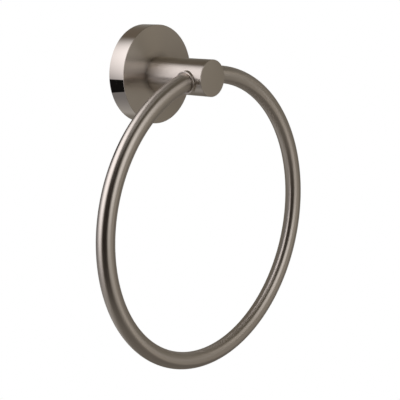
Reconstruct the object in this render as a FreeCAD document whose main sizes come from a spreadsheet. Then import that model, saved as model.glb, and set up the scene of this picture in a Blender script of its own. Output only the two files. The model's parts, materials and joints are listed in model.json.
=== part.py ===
"""Wall-mounted towel ring: a round flange, a plain post and a ring that swings in two bushes.

Millimetres. X is to the right, Y runs into the wall and Z is up. The origin lies on the
wall's face, on the post's axis. The pieces that are turned about the post's axis are drawn
in a frame given a quarter turn about X: their own z is the distance out from the wall, and
their own y is up.
"""

import FreeCAD
import Part
import Sketcher
import math
import os

from FreeCAD import Placement, Rotation, Vector

# Driving dimensions: each has an alias, a value and a meaning.
SIZES = (
    # ring
    ("ring_mean_radius", 81.0, "circle of the rod's centreline"),
    ("rod_diameter", 9.7, "thickness of the bent rod"),
    ("root_bend_radius", 20.0, "bend that brings each end of the rod into its bush"),
    ("root_bend_start", 0.1, "straight rod outside the bush before the bend"),
    ("rod_end_gap", 2.0, "gap between the rod's two ends inside the post"),
    ("rod_end_chamfer", 0.8, "lead-in on the rod's ends"),
    # post
    ("post_diameter", 19.7, "turned bar"),
    ("post_reach", 50.0, "wall to the post's end face"),
    ("post_edge_break", 0.3, "chamfer round the end face"),
    ("pivot_setback", 10.3, "ring's pivot axis behind the end face"),
    ("pivot_drop", 0.85, "pivot axis below the post's own axis"),
    ("rod_hole_clearance", 0.3, "radial, rod in the post's middle drilling"),
    ("spigot_diameter", 9.6, "flatted spigot behind the post's shoulder"),
    ("spigot_flats", 8.2, "across its two flats"),
    ("spigot_clearance", 0.1, "spigot in the cover's and hub's holes, each side"),
    ("spigot_shortfall", 0.3, "spigot short of the hub's back, so that the screw clamps"),
    # bushes
    ("bush_diameter", 12.4, "outside of each bush"),
    ("bush_stand_out", 1.0, "bush beyond the post's widest line"),
    ("bush_seat_spacing", 8.0, "metal left between the two bush seats"),
    ("bush_edge_break", 0.3, "chamfer on the bush's rim and mouth"),
    ("running_clearance", 0.05, "radial, rod in bush"),
    # flange cover
    ("cover_diameter", 54.4, "outside of the flange"),
    ("cover_depth", 10.8, "wall to the flange's front face"),
    ("cover_wall", 1.6, "rim of the cup"),
    ("cover_face_wall", 2.0, "front of the cup"),
    ("cover_edge_break", 0.3, "chamfer between rim and face"),
    ("key_hole_diameter", 3.2, "hole in the rim's underside for the hex key"),
    # hub
    ("hub_cover_clearance", 0.3, "radial, hub inside the cup"),
    ("hub_wall", 3.0, "ring that takes the set screw's thread"),
    ("hub_web", 2.5, "plate that the post screw clamps"),
    ("hub_wall_gap", 0.6, "hub clear of the wall, so that the cup is pulled tight"),
    ("hub_lead_in", 0.5, "chamfer at the mouth of the hub's bore"),
    # wall bracket
    ("bracket_hub_clearance", 0.3, "radial, bracket in the hub's bore"),
    ("bracket_web_gap", 0.3, "bracket's rim to the hub's web"),
    ("bracket_floor", 2.6, "plate against the wall"),
    ("bracket_undercut", 2.4, "45 degree flank that the set screw bears on"),
    ("bracket_neck_wall", 1.5, "wall of the bracket's neck"),
    ("wall_hole_spacing", 26.0, "between the two holes for wall screws"),
    ("wall_hole_diameter", 4.8, "holes for wall screws"),
    # screws
    ("thread_clearance", 0.05, "radial, screw in its tapped hole"),
    ("post_screw_diameter", 6.0, "flanged button-head screw"),
    ("post_screw_length", 16.0, "under its head"),
    ("post_screw_flange_diameter", 13.6, "flange of its head"),
    ("post_screw_flange_height", 1.2, "flange of its head"),
    ("post_screw_dome_diameter", 10.5, "dome of its head"),
    ("post_screw_head_height", 3.3, "whole head"),
    ("post_screw_key", 4.0, "hex socket across flats"),
    ("post_screw_key_depth", 2.0, "hex socket"),
    ("tap_run_out", 2.0, "tapped hole beyond the screw's tip"),
    ("set_screw_diameter", 4.0, "cone-point set screw"),
    ("set_screw_length", 4.0, "tip to socket face"),
    ("set_screw_reach", 3.6, "wall to the set screw's axis"),
    ("set_screw_seat_gap", 0.05, "cone to the bracket's flank"),
    ("set_screw_key", 2.0, "hex socket across flats"),
    ("set_screw_key_depth", 1.6, "hex socket"),
    ("screw_edge_break", 0.3, "chamfer at the screws' ends"),
)

# Places and radii that several pieces share, worked out from the driving dimensions.
ROD_RADIUS = "(Sizes.rod_diameter / 2)"
POST_RADIUS = "(Sizes.post_diameter / 2)"
PIVOT_REACH = "(Sizes.post_reach - Sizes.pivot_setback)"
BUSH_RADIUS = "(Sizes.bush_diameter / 2)"
BUSH_SEAT = "(Sizes.bush_seat_spacing / 2)"
BUSH_END = f"({POST_RADIUS} + Sizes.bush_stand_out)"
BEND_START = f"({BUSH_END} + Sizes.root_bend_start)"
COVER_RADIUS = "(Sizes.cover_diameter / 2)"
COVER_BACK = "(Sizes.cover_depth - Sizes.cover_face_wall)"
WEB_BACK = f"({COVER_BACK} - Sizes.hub_web)"
SPIGOT_END = f"({WEB_BACK} + Sizes.spigot_shortfall)"
HUB_RADIUS = f"({COVER_RADIUS} - Sizes.cover_wall - Sizes.hub_cover_clearance)"
HUB_BORE = f"({HUB_RADIUS} - Sizes.hub_wall)"
RIM_RADIUS = f"({HUB_BORE} - Sizes.bracket_hub_clearance)"
RIM_FRONT = f"({WEB_BACK} - Sizes.bracket_web_gap)"
NECK_RADIUS = f"({RIM_RADIUS} - Sizes.bracket_undercut)"
NECK_TOP = "Sizes.bracket_floor"
TAP_RADIUS = "(Sizes.post_screw_diameter / 2 + Sizes.thread_clearance)"
TAP_END = f"({WEB_BACK} + Sizes.post_screw_length + Sizes.tap_run_out)"
SET_TIP = f"({NECK_RADIUS} - {NECK_TOP} + Sizes.set_screw_reach + Sizes.set_screw_seat_gap)"
DRILL_POINT_SLOPE = 0.6
ORIGIN = (-1, 1)
SKETCH_AXES = {"horizontal": -1, "vertical": -2}

FROM_THE_WALL = Rotation(Vector(1, 0, 0), 90)
TO_THE_RIGHT = Rotation(Vector(0, 1, 0), 90)
TO_THE_LEFT = Rotation(Vector(0, 1, 0), -90)
DOWNWARDS = Rotation(Vector(1, 0, 0), 180)

doc = FreeCAD.newDocument("TowelRing")


def make_sheet():
    """Spreadsheet of the driving dimensions."""
    sheet = doc.addObject("Spreadsheet::Sheet", "Sizes")
    for row, (alias, size, _) in enumerate(SIZES, 1):
        sheet.set(f"A{row}", alias)
        sheet.set(f"B{row}", str(size))
        sheet.setAlias(f"B{row}", alias)
    doc.recompute()
    return sheet


def number(expression):
    """Present value of an expression on the sheet."""
    return float(sizes.evalExpression(expression))


def make_body(label, rotation=FROM_THE_WALL, x="0", y="0", z="0"):
    """Body with its own label and a placement that follows the sheet."""
    body = doc.addObject("PartDesign::Body", label)
    body.Label = label
    body.Placement = Placement(Vector(number(x), number(y), number(z)), rotation)
    for axis, expression in (("x", x), ("y", y), ("z", z)):
        if expression != "0":
            body.setExpression(f"Placement.Base.{axis}", expression)
    return body


def origin_plane(body, role):
    """One of the body's three origin planes."""
    return next(item for item in body.Origin.OriginFeatures if item.Role == role)


def make_sketch(body, name, role, offset="0"):
    """Sketch on an origin plane, moved along the plane's normal."""
    sketch = body.newObject("Sketcher::SketchObject", name)
    sketch.AttachmentSupport = [(origin_plane(body, role), "")]
    sketch.MapMode = "FlatFace"
    if offset != "0":
        sketch.setExpression("AttachmentOffset.Base.z", offset)
    return sketch


def bind(sketch, name, constraint, expression):
    """Named dimension of a sketch, bound to the sheet."""
    index = sketch.addConstraint(constraint)
    sketch.renameConstraint(index, name)
    sketch.setExpression(f"Constraints.{name}", expression)


def pin_point(sketch, name, geometry, end, across, along):
    """Place a point of a sketch by its two coordinates."""
    for kind, letter, axis, expression in (("DistanceX", "x", "vertical", across),
                                           ("DistanceY", "y", "horizontal", along)):
        if expression == "0":
            sketch.addConstraint(Sketcher.Constraint("PointOnObject", geometry, end,
                                                     SKETCH_AXES[axis]))
            continue
        distance = Sketcher.Constraint(kind, *ORIGIN, geometry, end, number(expression))
        bind(sketch, f"{name}_{letter}", distance, expression)


def turned(body, name, corners):
    """Solid of revolution about the body's z; corners are (name, radius, height)."""
    sketch = make_sketch(body, f"{name}_profile", "XZ_Plane")
    points = [Vector(number(across), number(along), 0) for _, across, along in corners]
    last = len(points) - 1
    for index, point in enumerate(points):
        following = 0 if index == last else index + 1
        sketch.addGeometry(Part.LineSegment(point, points[following]), False)
    for index in range(len(points)):
        following = 0 if index == last else index + 1
        sketch.addConstraint(Sketcher.Constraint("Coincident", index, 2, following, 1))
    for index, (corner, across, along) in enumerate(corners):
        pin_point(sketch, corner, index, 1, across, along)
    revolution = body.newObject("PartDesign::Revolution", name)
    revolution.Profile = sketch
    revolution.ReferenceAxis = (sketch, ["V_Axis"])
    revolution.Angle = 360
    return revolution


def drill(body, name, radius, depth, rotation, x="0", y="0", z="0"):
    """Round hole that starts at a point and runs along the turned z."""
    hole = body.newObject("PartDesign::SubtractiveCylinder", name)
    hole.Placement = Placement(Vector(number(x), number(y), number(z)), rotation)
    hole.setExpression("Radius", radius)
    hole.setExpression("Height", depth)
    for axis, expression in (("x", x), ("y", y), ("z", z)):
        if expression != "0":
            hole.setExpression(f"Placement.Base.{axis}", expression)
    return hole


def hex_socket(body, name, across_flats, bottom, depth):
    """Hexagonal recess for a key, open upwards."""
    socket = body.newObject("PartDesign::SubtractivePrism", name)
    socket.Polygon = 6
    socket.setExpression("Circumradius", f"{across_flats} / sqrt(3)")
    socket.setExpression("Height", depth)
    socket.setExpression("Placement.Base.z", bottom)
    return socket


def mirror(body, name, feature, role):
    """Second copy of a feature across an origin plane."""
    mirrored = body.newObject("PartDesign::Mirrored", name)
    mirrored.Originals = [feature]
    mirrored.MirrorPlane = (origin_plane(body, role), [""])
    body.Tip = mirrored
    return mirrored


def flatted_circle(body, name, height, clearance):
    """Outline of the spigot: a circle with two flats, let out by a clearance."""
    radius = f"(Sizes.spigot_diameter / 2 + {clearance})"
    half_flats = f"(Sizes.spigot_flats / 2 + {clearance})"
    sketch = make_sketch(body, name, "XY_Plane", height)
    circle_radius = number(radius)
    flat = number(half_flats)
    half_height = math.sqrt(circle_radius ** 2 - flat ** 2)
    corner_angle = math.atan2(half_height, flat)
    circle = Part.Circle(Vector(0, 0, 0), Vector(0, 0, 1), circle_radius)
    right, top, left, bottom = range(4)
    sketch.addGeometry(Part.LineSegment(Vector(flat, -half_height, 0),
                                        Vector(flat, half_height, 0)), False)
    sketch.addGeometry(Part.ArcOfCircle(circle, corner_angle, math.pi - corner_angle), False)
    sketch.addGeometry(Part.LineSegment(Vector(-flat, half_height, 0),
                                        Vector(-flat, -half_height, 0)), False)
    sketch.addGeometry(Part.ArcOfCircle(circle, math.pi + corner_angle,
                                        2 * math.pi - corner_angle), False)
    for first, second in ((right, top), (top, left), (left, bottom), (bottom, right)):
        sketch.addConstraint(Sketcher.Constraint("Coincident", first, 2, second, 1))
    for arc in (top, bottom):
        sketch.addConstraint(Sketcher.Constraint("Coincident", arc, 3, *ORIGIN))
    for line in (right, left):
        sketch.addConstraint(Sketcher.Constraint("Vertical", line))
    sketch.addConstraint(Sketcher.Constraint("Equal", top, bottom))
    bind(sketch, "round", Sketcher.Constraint("Radius", top, circle_radius), radius)
    bind(sketch, "right_flat",
         Sketcher.Constraint("DistanceX", *ORIGIN, right, 1, flat), half_flats)
    bind(sketch, "left_flat",
         Sketcher.Constraint("DistanceX", left, 1, *ORIGIN, flat), half_flats)
    return sketch


def spigot_hole(body, name, back, depth):
    """Flatted hole for the post's spigot, cut outwards from a face of the body."""
    hole = body.newObject("PartDesign::Pocket", name)
    hole.Profile = flatted_circle(body, f"{name}_outline", back, "Sizes.spigot_clearance")
    hole.Reversed = True
    hole.setExpression("Length", depth)
    return hole


def make_wall_bracket():
    """Cast cup that is screwed to the wall, with an undercut flank for the set screw."""
    body = make_body("wall_bracket")
    recess = f"({NECK_RADIUS} - Sizes.bracket_neck_wall)"
    turned(body, "cup", (
        ("centre_back", "0", "0"),
        ("neck_foot", NECK_RADIUS, "0"),
        ("neck_top", NECK_RADIUS, NECK_TOP),
        ("flank_top", RIM_RADIUS, f"{NECK_TOP} + Sizes.bracket_undercut"),
        ("rim_outer", RIM_RADIUS, RIM_FRONT),
        ("rim_inner", recess, RIM_FRONT),
        ("recess_foot", recess, "Sizes.bracket_floor"),
        ("centre_floor", "0", "Sizes.bracket_floor"),
    ))
    hole = drill(body, "upper_wall_hole", "Sizes.wall_hole_diameter / 2",
                 "Sizes.bracket_floor", Rotation(), y="Sizes.wall_hole_spacing / 2")
    mirror(body, "lower_wall_hole", hole, "XZ_Plane")
    return body


def make_mounting_hub():
    """Cast hub that slips over the bracket and is held to it by the set screw."""
    body = make_body("mounting_hub")
    turned(body, "cup", (
        ("centre_front", "0", COVER_BACK),
        ("outer_front", HUB_RADIUS, COVER_BACK),
        ("outer_back", HUB_RADIUS, "Sizes.hub_wall_gap"),
        ("mouth_outer", f"{HUB_BORE} + Sizes.hub_lead_in", "Sizes.hub_wall_gap"),
        ("mouth_inner", HUB_BORE, "Sizes.hub_wall_gap + Sizes.hub_lead_in"),
        ("bore_end", HUB_BORE, WEB_BACK),
        ("centre_web", "0", WEB_BACK),
    ))
    spigot_hole(body, "spigot_hole", WEB_BACK, "Sizes.hub_web")
    drill(body, "set_screw_thread", "Sizes.set_screw_diameter / 2 + Sizes.thread_clearance",
          COVER_RADIUS, FROM_THE_WALL, z="Sizes.set_screw_reach")
    return body


def make_flange_cover():
    """Drawn cup that shows as the flange, with a polished rim and a brushed face."""
    body = make_body("flange_cover")
    inside = f"({COVER_RADIUS} - Sizes.cover_wall)"
    turned(body, "cup", (
        ("centre_front", "0", "Sizes.cover_depth"),
        ("face_edge", f"{COVER_RADIUS} - Sizes.cover_edge_break", "Sizes.cover_depth"),
        ("rim_front", COVER_RADIUS, "Sizes.cover_depth - Sizes.cover_edge_break"),
        ("rim_back", COVER_RADIUS, "0"),
        ("inside_back", inside, "0"),
        ("inside_front", inside, COVER_BACK),
        ("centre_back", "0", COVER_BACK),
    ))
    spigot_hole(body, "spigot_hole", COVER_BACK, "Sizes.cover_face_wall")
    drill(body, "key_hole", "Sizes.key_hole_diameter / 2",
          f"{COVER_RADIUS} + Sizes.cover_wall", FROM_THE_WALL, z="Sizes.set_screw_reach")
    return body


def make_post():
    """Turned post with a flatted spigot, a tapped hole and a cross drilling for the bushes."""
    body = make_body("post")
    turned(body, "barrel", (
        ("shoulder_centre", "0", "Sizes.cover_depth"),
        ("shoulder_edge", POST_RADIUS, "Sizes.cover_depth"),
        ("end_edge", POST_RADIUS, "Sizes.post_reach - Sizes.post_edge_break"),
        ("end_face", f"{POST_RADIUS} - Sizes.post_edge_break", "Sizes.post_reach"),
        ("end_centre", "0", "Sizes.post_reach"),
    ))
    spigot = body.newObject("PartDesign::Pad", "spigot")
    spigot.Profile = flatted_circle(body, "spigot_outline", SPIGOT_END, "0")
    spigot.setExpression("Length", f"Sizes.cover_depth - {SPIGOT_END}")
    drill(body, "tapped_hole", TAP_RADIUS, f"{TAP_END} - {SPIGOT_END}", Rotation(),
          z=SPIGOT_END)
    point = body.newObject("PartDesign::SubtractiveCone", "drill_point")
    point.Radius2 = 0
    point.setExpression("Radius1", TAP_RADIUS)
    point.setExpression("Height", f"{TAP_RADIUS} * {DRILL_POINT_SLOPE}")
    point.setExpression("Placement.Base.z", TAP_END)
    through = f"{ROD_RADIUS} + Sizes.rod_hole_clearance"
    drill(body, "cross_drilling", through, "2 * Sizes.post_diameter", TO_THE_RIGHT,
          x="-Sizes.post_diameter", y="-Sizes.pivot_drop", z=PIVOT_REACH)
    seat = drill(body, "bush_seat", BUSH_RADIUS, POST_RADIUS, TO_THE_RIGHT,
                 x=BUSH_SEAT, y="-Sizes.pivot_drop", z=PIVOT_REACH)
    mirror(body, "other_bush_seat", seat, "YZ_Plane")
    return body


def make_bush(label, rotation):
    """Sleeve pressed into the post, in which the rod turns; its z leads out of the post."""
    body = make_body(label, rotation, y=f"-{PIVOT_REACH}", z="-Sizes.pivot_drop")
    bore = f"({ROD_RADIUS} + Sizes.running_clearance)"
    edge = "Sizes.bush_edge_break"
    turned(body, "sleeve", (
        ("seat_inner", bore, BUSH_SEAT),
        ("seat_outer", BUSH_RADIUS, BUSH_SEAT),
        ("rim_side", BUSH_RADIUS, f"{BUSH_END} - {edge}"),
        ("rim_face", f"{BUSH_RADIUS} - {edge}", BUSH_END),
        ("mouth_face", f"{bore} + {edge}", BUSH_END),
        ("mouth_bore", bore, f"{BUSH_END} - {edge}"),
    ))
    return body


def ring_path(body):
    """Centreline of the rod: straight end, root bend, the ring's circle and the same back."""
    stub = number(BEND_START)
    bend = number("Sizes.root_bend_radius")
    radius = number("Sizes.ring_mean_radius")
    half_gap = number("Sizes.rod_end_gap / 2")
    turn = math.asin(stub / (radius - bend))
    circle_centre = Vector(0, -bend - (radius - bend) * math.cos(turn), 0)
    upright = Vector(0, 0, 1)
    sketch = make_sketch(body, "ring_centreline", "XY_Plane")
    right_end, right_bend, circle, left_bend, left_end = range(5)
    quarter = math.pi / 2
    sketch.addGeometry(Part.LineSegment(Vector(half_gap, 0, 0), Vector(stub, 0, 0)), False)
    sketch.addGeometry(Part.ArcOfCircle(Part.Circle(Vector(stub, -bend, 0), upright, bend),
                                        quarter - turn, quarter), False)
    sketch.addGeometry(Part.ArcOfCircle(Part.Circle(circle_centre, upright, radius),
                                        quarter + turn, 5 * quarter - turn), False)
    sketch.addGeometry(Part.ArcOfCircle(Part.Circle(Vector(-stub, -bend, 0), upright, bend),
                                        quarter, quarter + turn), False)
    sketch.addGeometry(Part.LineSegment(Vector(-stub, 0, 0), Vector(-half_gap, 0, 0)), False)
    for first, first_end, second, second_end in ((right_end, 2, right_bend, 2),
                                                 (right_bend, 1, circle, 2),
                                                 (circle, 1, left_bend, 2),
                                                 (left_bend, 1, left_end, 1)):
        sketch.addConstraint(Sketcher.Constraint("Tangent", first, first_end,
                                                 second, second_end))
    for line in (right_end, left_end):
        sketch.addConstraint(Sketcher.Constraint("Horizontal", line))
    for geometry, point, axis in ((right_end, 1, "horizontal"), (circle, 3, "vertical")):
        sketch.addConstraint(Sketcher.Constraint("PointOnObject", geometry, point,
                                                 SKETCH_AXES[axis]))
    sketch.addConstraint(Sketcher.Constraint("Equal", right_bend, left_bend))
    bind(sketch, "bend", Sketcher.Constraint("Radius", right_bend, bend),
         "Sizes.root_bend_radius")
    bind(sketch, "mean", Sketcher.Constraint("Radius", circle, radius),
         "Sizes.ring_mean_radius")
    for name, first, second, size, expression in (
            ("right_gap", ORIGIN, (right_end, 1), half_gap, "Sizes.rod_end_gap / 2"),
            ("right_stub", ORIGIN, (right_end, 2), stub, BEND_START),
            ("left_gap", (left_end, 2), ORIGIN, half_gap, "Sizes.rod_end_gap / 2"),
            ("left_stub", (left_end, 1), ORIGIN, stub, BEND_START)):
        bind(sketch, name, Sketcher.Constraint("DistanceX", *first, *second, size),
             expression)
    return sketch


def make_ring():
    """Round rod bent into a circle, its ends turned in to run in the bushes."""
    body = make_body("ring", y=f"-{PIVOT_REACH}", z="-Sizes.pivot_drop")
    path = ring_path(body)
    section = make_sketch(body, "rod_section", "YZ_Plane", "Sizes.rod_end_gap / 2")
    circle = Part.Circle(Vector(0, 0, 0), Vector(0, 0, 1), number(ROD_RADIUS))
    section.addGeometry(circle, False)
    section.addConstraint(Sketcher.Constraint("Coincident", 0, 3, *ORIGIN))
    bind(section, "rod", Sketcher.Constraint("Radius", 0, number(ROD_RADIUS)), ROD_RADIUS)
    rod = body.newObject("PartDesign::AdditivePipe", "rod")
    rod.Profile = section
    rod.Spine = path
    doc.recompute()
    half_gap = number("Sizes.rod_end_gap / 2")
    ends = [f"Edge{index}" for index, edge in enumerate(rod.Shape.Edges, 1)
            if isinstance(edge.Curve, Part.Circle)
            and math.isclose(abs(edge.CenterOfMass.x), half_gap, rel_tol=1e-3)]
    lead_in = body.newObject("PartDesign::Chamfer", "rod_lead_in")
    lead_in.Base = (rod, ends)
    lead_in.setExpression("Size", "Sizes.rod_end_chamfer")
    return body


def make_post_screw():
    """Flanged button-head screw that clamps hub, cover and post together."""
    body = make_body("post_screw")
    shank = "Sizes.post_screw_diameter / 2"
    flange = "Sizes.post_screw_flange_diameter / 2"
    dome = "Sizes.post_screw_dome_diameter / 2"
    tip = f"{WEB_BACK} + Sizes.post_screw_length"
    head = f"{WEB_BACK} - Sizes.post_screw_head_height"
    flange_back = f"{WEB_BACK} - Sizes.post_screw_flange_height"
    turned(body, "blank", (
        ("centre_head", "0", head),
        ("dome_top", f"{dome} - Sizes.post_screw_flange_height", head),
        ("dome_foot", dome, flange_back),
        ("flange_back", flange, flange_back),
        ("flange_seat", flange, WEB_BACK),
        ("shank_root", shank, WEB_BACK),
        ("shank_end", shank, f"{tip} - Sizes.screw_edge_break"),
        ("tip_edge", f"{shank} - Sizes.screw_edge_break", tip),
        ("tip_centre", "0", tip),
    ))
    hex_socket(body, "key_socket", "Sizes.post_screw_key", head, "Sizes.post_screw_key_depth")
    return body


def make_set_screw():
    """Cone-point screw driven up from below, against the bracket's flank."""
    body = make_body("set_screw", DOWNWARDS, y="-Sizes.set_screw_reach", z=f"-{SET_TIP}")
    radius = "Sizes.set_screw_diameter / 2"
    length = "Sizes.set_screw_length"
    turned(body, "blank", (
        ("point", "0", "0"),
        ("cone_foot", radius, radius),
        ("side_end", radius, f"{length} - Sizes.screw_edge_break"),
        ("end_edge", f"{radius} - Sizes.screw_edge_break", length),
        ("end_centre", "0", length),
    ))
    hex_socket(body, "key_socket", "Sizes.set_screw_key",
               f"{length} - Sizes.set_screw_key_depth", "Sizes.set_screw_key_depth")
    return body


def check(bodies):
    """Stop if any object failed to compute, or if a piece has no valid solid."""
    for item in doc.Objects:
        if "Invalid" in item.State or "Error" in item.State:
            raise RuntimeError(f"{item.Name} did not compute")
    for body in bodies:
        if body.Shape.isNull() or not body.Shape.isValid():
            raise RuntimeError(f"{body.Label} has no valid shape")
        if len(body.Shape.Solids) != 1:
            raise RuntimeError(f"{body.Label} is not one solid")


sizes = make_sheet()
pieces = [
    make_wall_bracket(),
    make_mounting_hub(),
    make_flange_cover(),
    make_post(),
    make_post_screw(),
    make_set_screw(),
    make_bush("left_bush", TO_THE_LEFT),
    make_bush("right_bush", TO_THE_RIGHT),
    make_ring(),
]
doc.recompute()
check(pieces)
os.makedirs("parts", exist_ok=True)
for piece in pieces:
    piece.Shape.exportStep(f"parts/{piece.Label}.step")
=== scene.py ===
"""Towel ring in satin nickel: its smooth pieces, finishes, studio and camera.

Metres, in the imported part's own frame: X is to the right, Y runs into the wall and Z is up.
The origin lies on the wall's face, on the post's axis.
"""

import json
import math

import bmesh
import bpy
from bpy.props import FloatProperty, FloatVectorProperty, PointerProperty
from mathutils import Matrix, Vector


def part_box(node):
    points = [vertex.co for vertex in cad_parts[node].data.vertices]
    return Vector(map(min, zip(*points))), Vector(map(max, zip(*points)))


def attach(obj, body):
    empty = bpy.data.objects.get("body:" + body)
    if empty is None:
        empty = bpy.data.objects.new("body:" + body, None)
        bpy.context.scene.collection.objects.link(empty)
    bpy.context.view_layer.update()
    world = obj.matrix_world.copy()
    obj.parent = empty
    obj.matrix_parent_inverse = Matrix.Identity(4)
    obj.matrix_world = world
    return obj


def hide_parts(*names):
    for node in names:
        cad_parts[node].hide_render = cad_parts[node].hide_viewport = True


bl_info = {
    "name": "Towel Ring",
    "version": (1, 0, 0),
    "blender": (4, 5, 0),
    "location": "View3D > Sidebar > Towel Ring",
    "description": "Builds a wall-mounted towel ring in satin nickel",
    "category": "Add Mesh",
}

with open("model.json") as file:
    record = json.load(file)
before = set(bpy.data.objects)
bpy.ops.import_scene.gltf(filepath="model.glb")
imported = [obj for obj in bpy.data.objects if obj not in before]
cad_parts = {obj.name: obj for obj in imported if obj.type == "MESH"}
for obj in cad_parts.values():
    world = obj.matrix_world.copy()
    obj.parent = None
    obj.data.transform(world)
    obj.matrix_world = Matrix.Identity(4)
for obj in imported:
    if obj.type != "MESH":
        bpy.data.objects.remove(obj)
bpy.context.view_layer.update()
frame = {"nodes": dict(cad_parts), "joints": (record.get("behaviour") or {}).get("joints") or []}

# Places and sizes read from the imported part
PIVOT = Vector(frame["joints"][0]["pos_m"])
COVER_LOW, COVER_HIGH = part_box("flange_cover")
HUB_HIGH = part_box("mounting_hub")[1]
BRACKET_LOW, BRACKET_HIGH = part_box("wall_bracket")
POST_LOW, POST_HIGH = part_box("post")
BUSH_LOW, BUSH_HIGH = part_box("right_bush")
RING_LOW, RING_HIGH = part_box("ring")
SET_SCREW_LOW, SET_SCREW_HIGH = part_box("set_screw")
ROD_RADIUS = (RING_HIGH.y - RING_LOW.y) / 2
RING_CENTRE_Z = RING_HIGH.z - RING_HIGH.x
SET_SCREW_REACH = -(SET_SCREW_LOW.y + SET_SCREW_HIGH.y) / 2

MM = 0.001
X_AXIS = Vector((1, 0, 0))
Y_AXIS = Vector((0, 1, 0))
Z_AXIS = Vector((0, 0, 1))
ORIGIN = Vector((0, 0, 0))
FULL_TURN = 2 * math.pi
SMOOTH_ANGLE = math.radians(32)
WELD = 1e-7
ROUND_STEPS = 192
HOLE_STEPS = 96
ROD_STEPS = 64
RING_STEPS = 256
BEND_STEPS = 14
ROUNDING_STEPS = 4
ROD_END_STEPS = 3
CUT_PAST = 1.0 * MM
FACING_OUT = 0.3

# How the metals look
NOISE_LOW = 0.3
NOISE_HIGH = 0.7
SMEAR_AMOUNT = 0.98
# Painted shade where the post meets the flange's face: within this reach of the joint, the nickel
# darkens to this share of its tone.
JOINT_SHADE_REACH = 4.0 * MM
JOINT_SHADE_TONE = 0.76
END_FACE_LINES = 0.5 * MM
BRUSH_DEPTH = 0.00005 * MM
BUSH_LINE_DEPTH = 0.0003 * MM
POLISH_WAVE_DEPTH = 0.002 * MM
CASTING_SKIN_DEPTH = 0.03 * MM
PLATING_DEPTH = 0.004 * MM
STREAK_ROUGHNESS = 0.003
BRUSH_SCALE = 110.0
# Two layers of brush lines: (times the scale across, times the scale along, detail, roughness,
# share of the whole).
BRUSH_LAYERS = ((40.0, 0.7, 3.0, 0.65, 0.65), (9.0, 0.4, 2.0, 0.5, 0.35))


def length(name, description, default):
    """Size in metres, shown with its unit."""
    return FloatProperty(name=name, description=description, default=default, min=0,
                         precision=5, subtype="DISTANCE", unit="LENGTH")


def amount(name, description, default, most=1.0):
    """Plain number from nought to a limit."""
    return FloatProperty(name=name, description=description, default=default, min=0, max=most,
                         subtype="FACTOR")


def colour(name, description, default):
    """Linear colour."""
    return FloatVectorProperty(name=name, description=description, default=default, size=3,
                               min=0, max=1, subtype="COLOR")


class RingSizes(bpy.types.PropertyGroup):
    """The bent rod."""

    rod_diameter: length("Rod diameter", "Thickness of the rod", 2 * ROD_RADIUS)
    mean_radius: length("Mean radius", "Circle of the rod's centreline",
                        RING_HIGH.x - ROD_RADIUS)
    root_bend: length("Root bend", "Radius of the bend beside each bush", 20 * MM)
    root_start: length("Root start", "Post's axis to the start of the root bend",
                       BUSH_HIGH.x + 0.1 * MM)
    end_gap: length("End gap", "Gap between the rod's ends inside the post", 2 * MM)
    end_rounding: length("End rounding", "Rounded edge of the rod's ends", 0.8 * MM)


class PostSizes(bpy.types.PropertyGroup):
    """The turned post and its two bushes."""

    diameter: length("Diameter", "Outside of the post", 2 * POST_HIGH.x)
    reach: length("Reach", "Wall to the post's end face", -POST_LOW.y)
    edge_rounding: length("Edge rounding", "Broken edge of the end face", 0.3 * MM)
    spigot_end: length("Spigot end", "Wall to the end of the spigot", -POST_HIGH.y)
    spigot_diameter: length("Spigot diameter", "Flatted spigot in the flange", 9.6 * MM)
    spigot_flats: length("Spigot flats", "Across the spigot's two flats", 8.2 * MM)
    thread_diameter: length("Thread diameter", "Tapped hole for the post screw", 6.1 * MM)
    thread_depth: length("Thread depth", "Tapped hole from the spigot's end", 17.7 * MM)
    thread_point: length("Thread point", "Drill point at the end of the tapped hole", 1.83 * MM)
    cross_diameter: length("Cross drilling", "Hole that the rod passes through", 10.3 * MM)
    bush_diameter: length("Bush diameter", "Outside of each bush",
                          BUSH_HIGH.z - BUSH_LOW.z)
    bush_seat: length("Bush seat", "Post's axis to the inner end of each bush", BUSH_LOW.x)
    bush_end: length("Bush end", "Post's axis to the outer end of each bush", BUSH_HIGH.x)
    bush_bore: length("Bush bore", "Hole that the rod turns in", 2 * ROD_RADIUS + 0.1 * MM)
    bush_rounding: length("Bush rounding", "Rounded rim and mouth of each bush", 0.3 * MM)


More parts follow.
